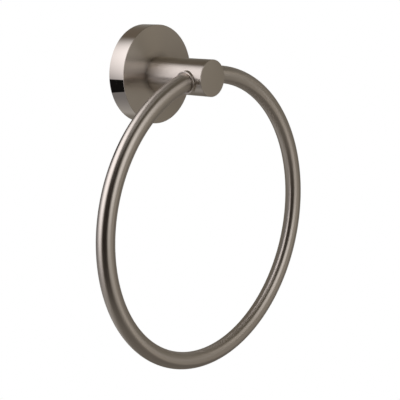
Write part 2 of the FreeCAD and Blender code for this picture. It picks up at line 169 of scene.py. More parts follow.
class FlangeSizes(bpy.types.PropertyGroup):
    """The flange, and the hub and bracket inside it."""

    diameter: length("Diameter", "Outside of the flange", 2 * COVER_HIGH.x)
    depth: length("Depth", "Wall to the flange's face", -COVER_LOW.y)
    rim_wall: length("Rim wall", "Thickness of the rim", 1.6 * MM)
    face_wall: length("Face wall", "Thickness of the face", 2 * MM)
    edge_rounding: length("Edge rounding", "Edge between rim and face", 0.3 * MM)
    spigot_clearance: length("Spigot clearance", "Each side of the post's spigot", 0.1 * MM)
    key_hole: length("Key hole", "Hole in the rim for the hex key", 3.2 * MM)
    hub_radius: length("Hub radius", "Outside of the hub", HUB_HIGH.x)
    hub_wall: length("Hub wall", "Ring that holds the set screw", 3 * MM)
    hub_web: length("Hub web", "Plate that the post screw clamps", 2.5 * MM)
    hub_back: length("Hub back", "Wall to the back of the hub", -HUB_HIGH.y)
    hub_lead_in: length("Hub lead-in", "Chamfer at the mouth of the hub", 0.5 * MM)
    set_screw_hole: length("Set screw hole", "Tapped hole in the hub's ring", 4.1 * MM)
    bracket_radius: length("Bracket radius", "Outside of the bracket's rim", BRACKET_HIGH.x)
    bracket_depth: length("Bracket depth", "Wall to the front of the bracket", -BRACKET_LOW.y)
    bracket_floor: length("Bracket floor", "Plate against the wall", 2.6 * MM)
    bracket_undercut: length("Bracket undercut", "Flank for the set screw", 2.4 * MM)
    bracket_neck_wall: length("Bracket neck wall", "Wall of the bracket's neck", 1.5 * MM)
    wall_hole: length("Wall hole", "Holes for the wall screws", 4.8 * MM)
    wall_hole_spacing: length("Wall hole spacing", "Between the two holes", 26 * MM)
    casting_rounding: length("Casting rounding", "Edges of the two castings", 0.25 * MM)


class Finishes(bpy.types.PropertyGroup):
    """Colours and surfaces of the metal."""

    nickel: colour("Nickel", "Reflection colour of the nickel plate", (0.66, 0.60, 0.54))
    cast_zinc: colour("Cast zinc", "Bare casting inside the flange", (0.42, 0.42, 0.43))
    plated_steel: colour("Plated steel", "Zinc-plated screws", (0.60, 0.60, 0.62))
    satin: amount("Satin", "Roughness of the ring and the bushes", 0.285)
    post_satin: amount("Post satin", "Roughness of the brushed post", 0.285)
    face_satin: amount("Face satin", "Roughness of the flange's face", 0.285)
    polish: amount("Polish", "Roughness of the polished rim", 0.035)


class StudioSettings(bpy.types.PropertyGroup):
    """Floor, lamps, cards and camera."""

    floor: colour("Floor", "Pale floor", (0.86, 0.86, 0.86))
    floor_drop: length("Floor drop", "Post's axis to the floor", 0.62)
    surroundings: amount("Surroundings", "Brightness of the tent that the metal reflects", 1, 4)
    soft_boxes: amount("Soft boxes", "Brightness of the soft boxes in the tent", 1, 4)
    camera_yaw: FloatProperty(name="Camera yaw", description="Turned from +Y towards +X",
                              default=math.radians(48.0), subtype="ANGLE", unit="ROTATION")
    camera_pitch: FloatProperty(name="Camera pitch", description="Above or below the horizon",
                                default=math.radians(-18.4), subtype="ANGLE", unit="ROTATION")
    camera_roll: FloatProperty(name="Camera roll", description="Turned about its own line",
                               default=math.radians(-5.27), subtype="ANGLE", unit="ROTATION")
    camera_place: FloatVectorProperty(name="Camera place", description="Where the camera is",
                                      default=(-0.35398, -0.35184, 0.08805), size=3,
                                      subtype="TRANSLATION", unit="LENGTH")
    camera_lens: FloatProperty(name="Camera lens", description="Focal length in millimetres",
                               default=80.1, min=1)


class TowelRingSettings(bpy.types.PropertyGroup):
    """All that a user would change."""

    ring: PointerProperty(type=RingSizes)
    post: PointerProperty(type=PostSizes)
    flange: PointerProperty(type=FlangeSizes)
    finishes: PointerProperty(type=Finishes)
    studio: PointerProperty(type=StudioSettings)


# Shapes

def turned(corners, axis, rounded, rounding):
    """Turned solid: corners are (name, radius, distance along the axis), in order.

    A section whose first and last corners lie on the axis is left open there; any other is
    closed. The named corners are rounded.
    """
    shape = bmesh.new()
    side = axis.orthogonal().normalized()
    points = {}
    for name, radius, along in corners:
        points[name] = shape.verts.new(side * radius + axis * along)
    ordered = list(points.values())
    for first, second in zip(ordered, ordered[1:]):
        shape.edges.new((first, second))
    if corners[0][1] > 0:
        shape.edges.new((ordered[-1], ordered[0]))
    bmesh.ops.bevel(shape, geom=[points[name] for name in rounded], offset=rounding,
                    segments=ROUNDING_STEPS, profile=0.5, affect="VERTICES", material=-1)
    bmesh.ops.spin(shape, geom=shape.verts[:] + shape.edges[:], cent=ORIGIN, axis=axis,
                   angle=FULL_TURN, steps=ROUND_STEPS, use_merge=True)
    close_up(shape)
    return shape


def close_up(shape):
    """Weld doubles and turn the faces outwards."""
    bmesh.ops.remove_doubles(shape, verts=shape.verts, dist=WELD)
    bmesh.ops.recalc_face_normals(shape, faces=shape.faces)


def along_axis(axis, start):
    """Placement that turns Z to an axis and moves the origin to a point."""
    return Matrix.Translation(start) @ Z_AXIS.rotation_difference(axis).to_matrix().to_4x4()


def round_bar(diameter, depth, axis, start):
    """Closed round bar from a start point along an axis."""
    shape = bmesh.new()
    place = along_axis(axis, start) @ Matrix.Translation((0, 0, depth / 2))
    bmesh.ops.create_cone(shape, cap_ends=True, segments=HOLE_STEPS, radius1=diameter / 2,
                          radius2=diameter / 2, depth=depth, matrix=place)
    return shape


def drill(diameter, depth, axis, start, point=0.0):
    """Cutter for a round hole from a start point along an axis, with a drill point."""
    shape = round_bar(diameter, depth, axis, start)
    if point:
        far_end = max(shape.faces, key=lambda face: (face.calc_center_median() - start).dot(axis))
        tip = bmesh.ops.poke(shape, faces=[far_end])["verts"]
        bmesh.ops.translate(shape, verts=tip, vec=axis * point)
    return cutter(shape)


def block(low, high):
    """Cutter with flat sides between two corners."""
    shape = bmesh.new()
    size = high - low
    place = Matrix.Translation((low + high) / 2) @ Matrix.Diagonal((*size, 1))
    bmesh.ops.create_cube(shape, size=1, matrix=place)
    return cutter(shape)


def spigot_hole(post, flange, behind, thickness):
    """Cutter for the hole with two flats that the post's spigot goes through.

    behind is the distance from the wall to the back of the plate, and thickness is the plate's.
    """
    clearance = 2 * flange.spigot_clearance
    flats = post.spigot_flats + clearance
    shape = round_bar(post.spigot_diameter + clearance, thickness + 2 * CUT_PAST, -Y_AXIS,
                      -Y_AXIS * (behind - CUT_PAST))
    for side in (X_AXIS, -X_AXIS):
        bmesh.ops.bisect_plane(shape, geom=shape.verts[:] + shape.edges[:] + shape.faces[:],
                               plane_co=side * flats / 2, plane_no=side, clear_outer=True)
        bmesh.ops.holes_fill(shape, edges=[edge for edge in shape.edges if edge.is_boundary])
    return cutter(shape)


def cutter(shape):
    """Object that only cuts others."""
    close_up(shape)
    return link_mesh("cutter", shape)


def link_mesh(name, shape):
    """Object at the origin that holds a shape."""
    mesh = bpy.data.meshes.new(name)
    shape.to_mesh(mesh)
    shape.free()
    made = bpy.data.objects.new(name, mesh)
    bpy.context.scene.collection.objects.link(made)
    return made


def carve(piece, *cutters):
    """Cut each cutter's shape out of a piece."""
    for tool in cutters:
        cut = piece.modifiers.new("cut", "BOOLEAN")
        cut.operation = "DIFFERENCE"
        cut.solver = "EXACT"
        cut.object = tool
    bpy.context.view_layer.update()
    depsgraph = bpy.context.evaluated_depsgraph_get()
    carved = bpy.data.meshes.new_from_object(piece.evaluated_get(depsgraph))
    piece.modifiers.clear()
    piece.data = carved
    for tool in cutters:
        bpy.data.objects.remove(tool)


def finish_piece(piece, body, node, slot, *materials):
    """Smooth shading, finishes, the body that it rides on and the node that it stands for."""
    mesh = piece.data
    mesh.materials.clear()
    for material in materials:
        mesh.materials.append(material)
    mesh.shade_smooth()
    mesh.set_sharp_from_angle(angle=SMOOTH_ANGLE)
    weighting = piece.modifiers.new("even_shading", "WEIGHTED_NORMAL")
    weighting.keep_sharp = True
    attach(piece, body)
    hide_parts(node)


# Materials

class Nodes:
    """Short ways to add and join nodes in one tree."""

    def __init__(self, tree):
        self.tree = tree
        tree.nodes.clear()

    def add(self, kind, **settings):
        """New node with its own settings."""
        node = self.tree.nodes.new(kind)
        for name, value in settings.items():
            setattr(node, name, value)
        return node

    def join(self, source, target):
        """Link between two sockets."""
        self.tree.links.new(source, target)

    def fill(self, socket, value):
        """A socket takes a constant, or a link from another socket."""
        if isinstance(value, bpy.types.NodeSocket):
            self.join(value, socket)
        else:
            socket.default_value = value

    def math(self, operation, first, second=0.0):
        """One arithmetic step."""
        node = self.add("ShaderNodeMath", operation=operation)
        self.fill(node.inputs[0], first)
        self.fill(node.inputs[1], second)
        return node.outputs[0]

    def dot(self, vector, way):
        """Length of a vector along a fixed way."""
        node = self.add("ShaderNodeVectorMath", operation="DOT_PRODUCT")
        self.fill(node.inputs[0], vector)
        self.fill(node.inputs[1], way)
        return node.outputs["Value"]

    def reach(self, first, second):
        """Distance from an axis, from the two parts square to it."""
        squares = self.math("ADD", self.math("MULTIPLY", first, first),
                            self.math("MULTIPLY", second, second))
        return self.math("SQRT", squares)

    def turn(self, first, second, radius):
        """Distance round a circle, from the two parts square to its axis."""
        return self.math("MULTIPLY", self.math("ARCTAN2", first, second), radius)

    def remap(self, value, low, high, to_low, to_high, kind="LINEAR"):
        """Value moved from one range into another."""
        node = self.add("ShaderNodeMapRange", interpolation_type=kind)
        for name, setting in (("Value", value), ("From Min", low), ("From Max", high),
                              ("To Min", to_low), ("To Max", to_high)):
            self.fill(node.inputs[name], setting)
        return node.outputs["Result"]

    def spread(self, noise, low, high):
        """Noise moved from the range that it mostly keeps to into another."""
        return self.remap(noise, NOISE_LOW, NOISE_HIGH, low, high)

    def mix(self, factor, first, second):
        """Colour between two."""
        node = self.add("ShaderNodeMix", data_type="RGBA")
        self.fill(node.inputs["Factor"], factor)
        self.fill(node.inputs["A"], first)
        self.fill(node.inputs["B"], second)
        return node.outputs["Result"]

    def object_place(self):
        """Object coordinates, and their three parts."""
        place = self.add("ShaderNodeTexCoord").outputs["Object"]
        parts = self.add("ShaderNodeSeparateXYZ")
        self.join(place, parts.inputs[0])
        return place, parts.outputs[0], parts.outputs[1], parts.outputs[2]

    def vector(self, x, y, z):
        """Vector from three values."""
        node = self.add("ShaderNodeCombineXYZ")
        for socket, value in zip(node.inputs, (x, y, z)):
            self.fill(socket, value)
        return node.outputs[0]

    def noise(self, place, scale, detail, roughness):
        """Noise at a scale in turns per metre."""
        node = self.add("ShaderNodeTexNoise")
        self.fill(node.inputs["Vector"], place)
        node.inputs["Scale"].default_value = scale
        node.inputs["Detail"].default_value = detail
        node.inputs["Roughness"].default_value = roughness
        return node.outputs["Fac"]


def new_material(name):
    """Material with an empty tree."""
    material = bpy.data.materials.new(name)
    material.use_nodes = True
    return material, Nodes(material.node_tree)


def metal(nodes, base, roughness, normal, smear=None):
    """Metal shader joined to the output; smear is the way in which its satin blurs most."""
    shader = nodes.add("ShaderNodeBsdfPrincipled")
    shader.inputs["Metallic"].default_value = 1.0
    if smear:
        shader.inputs["Anisotropic"].default_value = SMEAR_AMOUNT
        nodes.join(smear, shader.inputs["Tangent"])
    nodes.fill(shader.inputs["Base Color"], base)
    nodes.fill(shader.inputs["Roughness"], roughness)
    nodes.join(normal, shader.inputs["Normal"])
    output = nodes.add("ShaderNodeOutputMaterial")
    nodes.join(shader.outputs[0], output.inputs["Surface"])


def relief(nodes, height, depth):
    """Bump from a height, in metres of depth."""
    bump = nodes.add("ShaderNodeBump")
    bump.inputs["Strength"].default_value = 1.0
    bump.inputs["Distance"].default_value = depth
    nodes.join(height, bump.inputs["Height"])
    return bump.outputs[0]


def tone(base, share):
    """Colour made darker or lighter, with full opacity."""
    return (*[min(1.0, channel * share) for channel in base], 1)


def brush_lines(nodes, across, along, other):
    """Fine brush lines: quick changes across them and slow ones along them."""
    layers = []
    for quick, slow, detail, roughness, share in BRUSH_LAYERS:
        place = nodes.vector(nodes.math("MULTIPLY", across, quick),
                             nodes.math("MULTIPLY", other, quick),
                             nodes.math("MULTIPLY", along, slow))
        lines = nodes.noise(place, BRUSH_SCALE, detail, roughness)
        layers.append(nodes.math("MULTIPLY", lines, share))
    return nodes.math("ADD", *layers)


def brushed_nickel(name, base, roughness, lines, depth, joint=None, smear=None):
    """Satin nickel; lines gives the brush lines from the nodes and the object's place.

    joint gives the distance from a tight joint, where the plate is darkened as painted shade.
    smear gives the way in which the satin blurs most; without it the blur is the same all round.
    """
    material, nodes = new_material(name)
    place, x, y, z = nodes.object_place()
    grain = lines(nodes, x, y, z)
    handled = nodes.noise(place, 55.0, 3.0, 0.55)
    worn = nodes.spread(handled, roughness * 0.98, roughness * 1.04)
    streaked = nodes.spread(grain, -STREAK_ROUGHNESS, STREAK_ROUGHNESS)
    plate = nodes.mix(grain, tone(base, 0.98), tone(base, 1.01))
    if joint:
        # Painted shade: the plate darkens towards the tight joint.
        unshaded = nodes.remap(joint(nodes, x, y, z), 0.0, JOINT_SHADE_REACH, 0.0, 1.0, "SMOOTHSTEP")
        plate = nodes.mix(unshaded, tone(base, JOINT_SHADE_TONE), plate)
    blur = smear(nodes, x, y, z) if smear else None
    metal(nodes, plate, nodes.math("ADD", worn, streaked), relief(nodes, grain, depth), blur)
    return material


def lines_round_ring(nodes, x, y, z):
    """Brush lines that run along the bent rod."""
    height = nodes.math("SUBTRACT", z, RING_CENTRE_Z)
    return brush_lines(nodes, nodes.reach(x, height), nodes.turn(height, x, RING_HIGH.x), y)


def lines_round_post(nodes, x, y, z):
    """Brush lines that run round the post."""
    turn = nodes.turn(z, x, POST_HIGH.x)
    return brush_lines(nodes, y, turn, nodes.math("MULTIPLY", turn, 0.02))


def lines_round_face(nodes, x, y, z):
    """Brush lines that run round the flange's face."""
    return brush_lines(nodes, nodes.reach(x, z), nodes.turn(z, x, COVER_HIGH.x), y)


def lines_round_bush(nodes, x, y, z):
    """Brush lines that run round a bush."""
    across = nodes.math("SUBTRACT", y, PIVOT.y)
    height = nodes.math("SUBTRACT", z, PIVOT.z)
    return brush_lines(nodes, nodes.reach(across, height),
                       nodes.turn(height, across, BUSH_HIGH.x), x)


def out_from_face(nodes, x, y, z):
    """Distance out from the flange's face, along the post."""
    return nodes.math("SUBTRACT", COVER_LOW.y, y)


def out_from_post(nodes, x, y, z):
    """Distance out from the post, over the flange's face."""
    return nodes.math("SUBTRACT", nodes.reach(x, z), POST_HIGH.x)


def along_ring(nodes, x, y, z):
    """Way along the bent rod."""
    return nodes.vector(nodes.math("SUBTRACT", RING_CENTRE_Z, z), 0.0, x)


def along_post(nodes, x, y, z):
    """Way along the post, and straight up over its end face."""
    return nodes.vector(0.0, y, END_FACE_LINES)


def outwards(nodes, x, y, z):
    """Way out from the post's axis, over the flange's face."""
    return nodes.vector(x, 0.0, z)


def polished_nickel(base, roughness):
    """Bright rim with the faint waviness that a polishing wheel leaves."""
    material, nodes = new_material("polished_nickel")
    place = nodes.object_place()[0]
    haze = nodes.noise(place, 90.0, 3.0, 0.6)
    wave = nodes.noise(place, 240.0, 1.0, 0.4)
    plate = nodes.mix(haze, tone(base, 1.0), tone(base, 1.06))
    surface = nodes.spread(haze, roughness * 0.8, roughness * 1.3)
    metal(nodes, plate, surface, relief(nodes, wave, POLISH_WAVE_DEPTH))
    return material


def cast_zinc(base):
    """Bare die casting with a grainy skin."""
    material, nodes = new_material("cast_zinc")
    place = nodes.object_place()[0]
    skin = nodes.noise(place, 2600.0, 4.0, 0.6)
    flow = nodes.noise(place, 160.0, 3.0, 0.55)
    metal_tone = nodes.mix(flow, tone(base, 0.82), tone(base, 1.12))
    surface = nodes.spread(skin, 0.42, 0.6)
    metal(nodes, metal_tone, surface, relief(nodes, skin, CASTING_SKIN_DEPTH))
    return material


def plated_steel(base):
    """Zinc-plated screw, bright with a faint mottle."""
    material, nodes = new_material("plated_steel")
    place = nodes.object_place()[0]
    mottle = nodes.noise(place, 900.0, 3.0, 0.6)
    plate = nodes.mix(mottle, tone(base, 0.9), tone(base, 1.08))
    surface = nodes.spread(mottle, 0.2, 0.34)
    metal(nodes, plate, surface, relief(nodes, mottle, PLATING_DEPTH))
    return material


class TOWELRING_OT_ring(bpy.types.Operator):
    """Bend the rod into its ring, with a root bend beside each bush"""

    bl_idname = "towel_ring.ring"
    bl_label = "Ring"

    def execute(self, context):
        sizes = context.scene.towel_ring.ring
        finishes = context.scene.towel_ring.finishes
        straight = sizes.root_start
        bend = sizes.root_bend
        turn = math.asin(straight / (sizes.mean_radius - bend))
        drop = bend + (sizes.mean_radius - bend) * math.cos(turn)
        shape = bmesh.new()
        start = PIVOT + X_AXIS * sizes.end_gap / 2
        bmesh.ops.create_circle(shape, cap_ends=True, segments=ROD_STEPS,
                                radius=sizes.rod_diameter / 2,
                                matrix=along_axis(X_AXIS, start))
        run = X_AXIS * (straight - sizes.end_gap / 2)
        tip = self.lengthen(shape, list(shape.edges), run)
        down = -Z_AXIS
        for centre, angle, steps in (
                (PIVOT + X_AXIS * straight + down * bend, turn, BEND_STEPS),
                (PIVOT + down * drop, FULL_TURN - 2 * turn, RING_STEPS),
                (PIVOT - X_AXIS * straight + down * bend, turn, BEND_STEPS)):
            swept = bmesh.ops.spin(shape, geom=tip, cent=centre, axis=Y_AXIS, angle=angle,
                                   steps=steps)
            tip = [item for item in swept["geom_last"] if isinstance(item, bmesh.types.BMEdge)]
        tip = self.lengthen(shape, tip, run)
        bmesh.ops.holes_fill(shape, edges=tip)
        close_up(shape)
        ends = [edge for face in shape.faces if len(face.verts) > 4 for edge in face.edges]
        bmesh.ops.bevel(shape, geom=ends, offset=sizes.end_rounding, segments=ROD_END_STEPS,
                        profile=0.5, affect="EDGES", material=-1)
        piece = link_mesh("bent_ring", shape)
        nickel = brushed_nickel("ring_nickel_brushed", finishes.nickel, finishes.satin,
                                lines_round_ring, BRUSH_DEPTH, smear=along_ring)
        finish_piece(piece, "ring", "ring", "ring_nickel", nickel)
        return {"FINISHED"}

    @staticmethod
    def lengthen(shape, edges, move):
        """Extrude the rod's open end straight on; returns the new end's edges."""
        made = bmesh.ops.extrude_edge_only(shape, edges=edges)["geom"]
        verts = [item for item in made if isinstance(item, bmesh.types.BMVert)]
        bmesh.ops.translate(shape, verts=verts, vec=move)
        moved = set(verts)
        return [item for item in made if isinstance(item, bmesh.types.BMEdge)
                and set(item.verts) <= moved]


class TOWELRING_OT_post(bpy.types.Operator):
    """Turn the post, and drill it for its screw and the two bushes"""

    bl_idname = "towel_ring.post"
    bl_label = "Post"

    def execute(self, context):
        sizes = context.scene.towel_ring.post
        flange = context.scene.towel_ring.flange
        finishes = context.scene.towel_ring.finishes
        radius = sizes.diameter / 2
        spigot = sizes.spigot_diameter / 2
        shape = turned((
            ("spigot_centre", 0, sizes.spigot_end),
            ("spigot_end", spigot, sizes.spigot_end),
            ("spigot_root", spigot, flange.depth),
            ("shoulder", radius, flange.depth),
            ("end_edge", radius, sizes.reach),
            ("end_centre", 0, sizes.reach),
        ), -Y_AXIS, ("end_edge",), sizes.edge_rounding)
        piece = link_mesh("turned_post", shape)
        shoulder = -flange.depth
        flat = sizes.spigot_flats / 2
        cuts = [drill(sizes.thread_diameter, sizes.thread_depth + CUT_PAST, -Y_AXIS,
                      -Y_AXIS * (sizes.spigot_end - CUT_PAST), sizes.thread_point),
                drill(sizes.cross_diameter, 2 * sizes.diameter, X_AXIS,
                      PIVOT - X_AXIS * sizes.diameter)]
        for side in (1, -1):
            cuts.append(drill(sizes.bush_diameter, radius, X_AXIS * side,
                              PIVOT + X_AXIS * side * sizes.bush_seat))
            corners = [Vector((side * flat, shoulder, -radius)),
                       Vector((side * radius, CUT_PAST - sizes.spigot_end, radius))]
            low = Vector(map(min, *corners))
            high = Vector(map(max, *corners))
            cuts.append(block(low, high))
        carve(piece, *cuts)
        # out_from_face places the painted shade on the post, at its foot by the flange's face.
        nickel = brushed_nickel("post_nickel_brushed", finishes.nickel, finishes.post_satin,
                                lines_round_post, BRUSH_DEPTH, out_from_face, along_post)
        finish_piece(piece, "wall_fitting", "post", "post_nickel", nickel)
        return {"FINISHED"}


class TOWELRING_OT_bushes(bpy.types.Operator):
    """Turn the two bushes that stand out of the post's sides"""

    bl_idname = "towel_ring.bushes"
    bl_label = "Bushes"

    def execute(self, context):
        sizes = context.scene.towel_ring.post
        finishes = context.scene.towel_ring.finishes
        nickel = brushed_nickel("bush_nickel_turned", finishes.nickel, finishes.satin,
                                lines_round_bush, BUSH_LINE_DEPTH)
        for node, name, side in (("right_bush", "right_collar", 1),
                                 ("left_bush", "left_collar", -1)):
            shape = turned((
                ("seat_inner", sizes.bush_bore / 2, sizes.bush_seat),
                ("seat_outer", sizes.bush_diameter / 2, sizes.bush_seat),
                ("rim", sizes.bush_diameter / 2, sizes.bush_end),
                ("mouth", sizes.bush_bore / 2, sizes.bush_end),
            ), X_AXIS * side, ("rim", "mouth"), sizes.bush_rounding)
            bmesh.ops.translate(shape, verts=shape.verts, vec=PIVOT)
            piece = link_mesh(name, shape)
            finish_piece(piece, "wall_fitting", node, "bush_nickel", nickel)
        return {"FINISHED"}


class TOWELRING_OT_flange(bpy.types.Operator):
    """Draw the flange's cup, with its polished rim and brushed face"""

    bl_idname = "towel_ring.flange"
    bl_label = "Flange"

    def execute(self, context):
        sizes = context.scene.towel_ring.flange
        post = context.scene.towel_ring.post
        finishes = context.scene.towel_ring.finishes
        radius = sizes.diameter / 2
        inside = radius - sizes.rim_wall
        back = sizes.depth - sizes.face_wall
        shape = turned((
            ("centre_front", 0, sizes.depth),
            ("edge", radius, sizes.depth),
            ("rim_back", radius, 0),
            ("inside_back", inside, 0),
            ("inside_front", inside, back),
            ("centre_back", 0, back),
        ), -Y_AXIS, ("edge",), sizes.edge_rounding)
        piece = link_mesh("flange_cup", shape)
        carve(piece,
              spigot_hole(post, sizes, back, sizes.face_wall),
              drill(sizes.key_hole, radius + sizes.rim_wall, -Z_AXIS,
                    -Y_AXIS * SET_SCREW_REACH))
        # out_from_post places the painted shade on the flange's face, round the post's foot.
        face = brushed_nickel("flange_face_brushed", finishes.nickel, finishes.face_satin,
                              lines_round_face, BRUSH_DEPTH, out_from_post, outwards)
        rim = polished_nickel(finishes.nickel, finishes.polish)
        finish_piece(piece, "wall_fitting", "flange_cover", "flange_nickel", face, rim)
        on_rim = radius - sizes.edge_rounding
        for polygon in piece.data.polygons:
            out = Vector((polygon.center.x, 0, polygon.center.z))
            if out.length > on_rim and polygon.normal.dot(out.normalized()) > FACING_OUT:
                polygon.material_index = 1
        return {"FINISHED"}


class TOWELRING_OT_mounting(bpy.types.Operator):
    """Cast the hub and the wall bracket that the flange hides"""

    bl_idname = "towel_ring.mounting"
    bl_label = "Hub and bracket"

    def execute(self, context):
        sizes = context.scene.towel_ring.flange
        post = context.scene.towel_ring.post
        zinc = cast_zinc(context.scene.towel_ring.finishes.cast_zinc)
        self.make_hub(sizes, post, zinc)
        self.make_bracket(sizes, zinc)
        return {"FINISHED"}

    @staticmethod
    def make_hub(sizes, post, zinc):
        """Hub that slips over the bracket."""
        front = sizes.depth - sizes.face_wall
        web = front - sizes.hub_web
        bore = sizes.hub_radius - sizes.hub_wall
        shape = turned((
            ("centre_front", 0, front),
            ("outer_front", sizes.hub_radius, front),
            ("outer_back", sizes.hub_radius, sizes.hub_back),
            ("mouth_outer", bore + sizes.hub_lead_in, sizes.hub_back),
            ("mouth_inner", bore, sizes.hub_back + sizes.hub_lead_in),
            ("bore_end", bore, web),
            ("centre_web", 0, web),
        ), -Y_AXIS, ("outer_back", "mouth_outer", "mouth_inner"), sizes.casting_rounding)
        piece = link_mesh("cast_hub", shape)
        carve(piece,
              spigot_hole(post, sizes, web, sizes.hub_web),
              drill(sizes.set_screw_hole, sizes.hub_radius + CUT_PAST, -Z_AXIS,
                    -Y_AXIS * SET_SCREW_REACH))
        finish_piece(piece, "wall_fitting", "mounting_hub", "cast_zinc", zinc)

    @staticmethod
    def make_bracket(sizes, zinc):
        """Bracket that is screwed to the wall."""
        neck = sizes.bracket_radius - sizes.bracket_undercut
        recess = neck - sizes.bracket_neck_wall
        shape = turned((
            ("centre_back", 0, 0),
            ("neck_foot", neck, 0),
            ("neck_top", neck, sizes.bracket_floor),
            ("flank_top", sizes.bracket_radius, sizes.bracket_floor + sizes.bracket_undercut),
            ("rim_outer", sizes.bracket_radius, sizes.bracket_depth),
            ("rim_inner", recess, sizes.bracket_depth),
            ("recess_foot", recess, sizes.bracket_floor),
            ("centre_floor", 0, sizes.bracket_floor),
        ), -Y_AXIS, ("neck_foot", "rim_outer", "rim_inner"), sizes.casting_rounding)
        piece = link_mesh("cast_bracket", shape)
        holes = []
        for side in (1, -1):
            centre = Z_AXIS * side * sizes.wall_hole_spacing / 2
            holes.append(drill(sizes.wall_hole, sizes.bracket_floor + 2 * CUT_PAST, -Y_AXIS,
                               centre + Y_AXIS * CUT_PAST))
        carve(piece, *holes)
        finish_piece(piece, "wall_fitting", "wall_bracket", "cast_zinc", zinc)


class TOWELRING_OT_screws(bpy.types.Operator):
    """Give the post screw and the set screw their plating"""

    bl_idname = "towel_ring.screws"
    bl_label = "Screws"

    def execute(self, context):
        steel = plated_steel(context.scene.towel_ring.finishes.plated_steel)
        for node in ("post_screw", "set_screw"):
            for slot in frame["nodes"][node].material_slots:
                slot.material = steel
        return {"FINISHED"}


# Studio

STUDIO_CENTRE = Vector((0, -0.04, -0.07))
TENT_RADIUS = 0.5
TENT_STEPS = 64
FLOOR_RADIUS = 1.6
FLOOR_STEPS = 96
FLOOR_NEAR = 0.12
FLOOR_FAR = 0.42
LAMP_HEIGHT = 0.9
LAMP_SIZE = 0.8
LAMP_POWER = 7.0
ROOM_LIGHT = 0.62
WHITE = (1, 1, 1, 1)
SOFT_BOX_WHITE = (1.0, 0.985, 1.03, 1)
SENSOR_WIDTH = 36.0
CLIP_NEAR = 0.01
CLIP_FAR = 20.0

# The tent's tone from straight below to straight above: (elevation in degrees, colour)
TENT_TONES = (
    (-90, (0.19, 0.177, 0.16)),
    (-62, (0.165, 0.152, 0.137)),
    (-42, (0.23, 0.215, 0.197)),
    (-20, (0.20, 0.188, 0.165)),
    (0, (0.18, 0.168, 0.145)),
    (40, (0.18, 0.166, 0.14)),
    (64, (0.13, 0.118, 0.095)),
    (90, (0.13, 0.118, 0.10)),
)
# What hangs in the tent: (name, azimuth and elevation, half width and half height, softness of
# its edge, colour). All angles are in degrees, and azimuth runs from +Y towards +X.
TENT_PATCHES = (
    ("lit_table", (-24, -38), (33, 15), 11, (0.43, 0.42, 0.41)),
    ("front_table", (172, -18), (30, 11), 10, (0.40, 0.38, 0.35)),
    ("right_wall", (145, -11), (12, 23), 9, (0.34, 0.319, 0.285)),
    ("right_table", (160, -41), (13, 9), 9, (0.52, 0.485, 0.43)),
    ("right_upper_wall", (128, 20), (17, 13), 10, (0.44, 0.405, 0.35)),
    ("right_horizon", (80, 17), (42, 15), 10, (0.25, 0.237, 0.213)),
    ("right_dark_gap", (19, 42), (17, 26), 10, (0.16, 0.135, 0.11)),
    ("upper_soft_box", (-118, 73), (34, 8), 6, (0.70, 0.69, 0.69)),
    ("front_soft_box", (-173, 22), (20, 23), 10, (1.20, 1.18, 1.18)),
    ("camera_gap", (-119, 10), (25, 44), 8, (0.018, 0.014, 0.012)),
)


def reflected_only(piece):
    """Stage object that only the metal sees."""
    piece.visible_camera = False
    piece.visible_diffuse = False
    piece.visible_shadow = False
    piece.visible_volume_scatter = False


def seen_by_camera_or_metal(nodes):
    """One for camera, glossy and transmission rays, and nought for the rest."""
    path = nodes.add("ShaderNodeLightPath").outputs
    seen = nodes.math("ADD", path["Is Camera Ray"], path["Is Glossy Ray"])
    seen = nodes.math("ADD", seen, path["Is Transmission Ray"])
    return nodes.math("MINIMUM", seen, 1.0)


def make_world():
    """White background, and an even light for the floor."""
    world = bpy.data.worlds.new("studio_world")
    world.use_nodes = True
    nodes = Nodes(world.node_tree)
    room = (ROOM_LIGHT, ROOM_LIGHT, ROOM_LIGHT, 1)
    background = nodes.add("ShaderNodeBackground")
    nodes.join(nodes.mix(seen_by_camera_or_metal(nodes), room, WHITE),
               background.inputs["Color"])
    output = nodes.add("ShaderNodeOutputWorld")
    nodes.join(background.outputs[0], output.inputs["Surface"])
    bpy.context.scene.world = world


def make_floor(studio):
    """Pale floor that keeps the shadow and runs out into the white background."""
    shape = bmesh.new()
    bmesh.ops.create_circle(shape, cap_ends=True, segments=FLOOR_STEPS, radius=FLOOR_RADIUS)
    floor = link_mesh("floor", shape)
    floor.location = (0, PIVOT.y, -studio.floor_drop)
    material, nodes = new_material("pale_floor")
    place = nodes.add("ShaderNodeTexCoord").outputs["Object"]
    reach = nodes.add("ShaderNodeVectorMath", operation="LENGTH")
    nodes.join(place, reach.inputs[0])
    far = nodes.remap(reach.outputs["Value"], FLOOR_NEAR, FLOOR_FAR, 0.0, 1.0, "SMOOTHSTEP")
    matt = nodes.add("ShaderNodeBsdfDiffuse")
    matt.inputs["Color"].default_value = tone(studio.floor, 1.0)
    white = nodes.add("ShaderNodeEmission")
    blend = nodes.add("ShaderNodeMixShader")
    nodes.join(nodes.math("MULTIPLY", far, seen_by_camera_or_metal(nodes)), blend.inputs[0])
    nodes.join(matt.outputs[0], blend.inputs[1])
    nodes.join(white.outputs[0], blend.inputs[2])
    output = nodes.add("ShaderNodeOutputMaterial")
    nodes.join(blend.outputs[0], output.inputs["Surface"])
    material.cycles.emission_sampling = "NONE"
    floor.data.materials.append(material)


